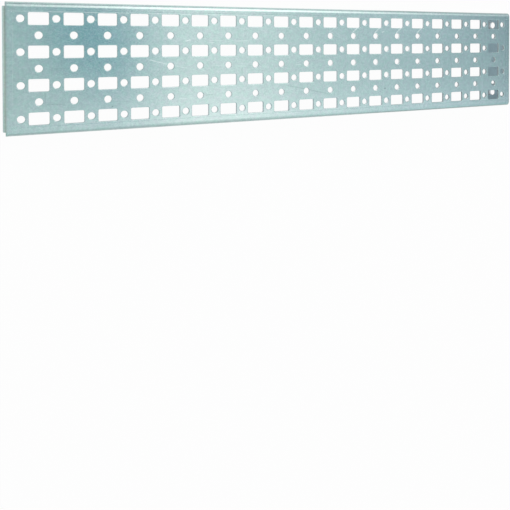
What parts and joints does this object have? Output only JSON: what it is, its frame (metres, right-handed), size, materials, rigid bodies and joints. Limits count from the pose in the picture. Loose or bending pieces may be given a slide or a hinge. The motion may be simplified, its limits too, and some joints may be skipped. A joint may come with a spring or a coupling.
{
  "type": "perforated cross rail",
  "caption": "Folded galvanised steel cross rail with a face of punched slots and round holes, flanged on all sides, for fixing devices and cables inside an enclosure.",
  "frame": {"origin": "centre of the rail's footprint, on the plane of the flanges' rim", "axes": "+X along the rail, +Y across its face, +Z out of the perforated face"},
  "size_m": [0.5, 0.1, 0.03],
  "materials": {
    "galvanised_steel": "satin zinc coating, fine rolled grain"
  },
  "bodies": {
    "root": {"cross_rail": "galvanised_steel"}
  },
  "joints": []
}
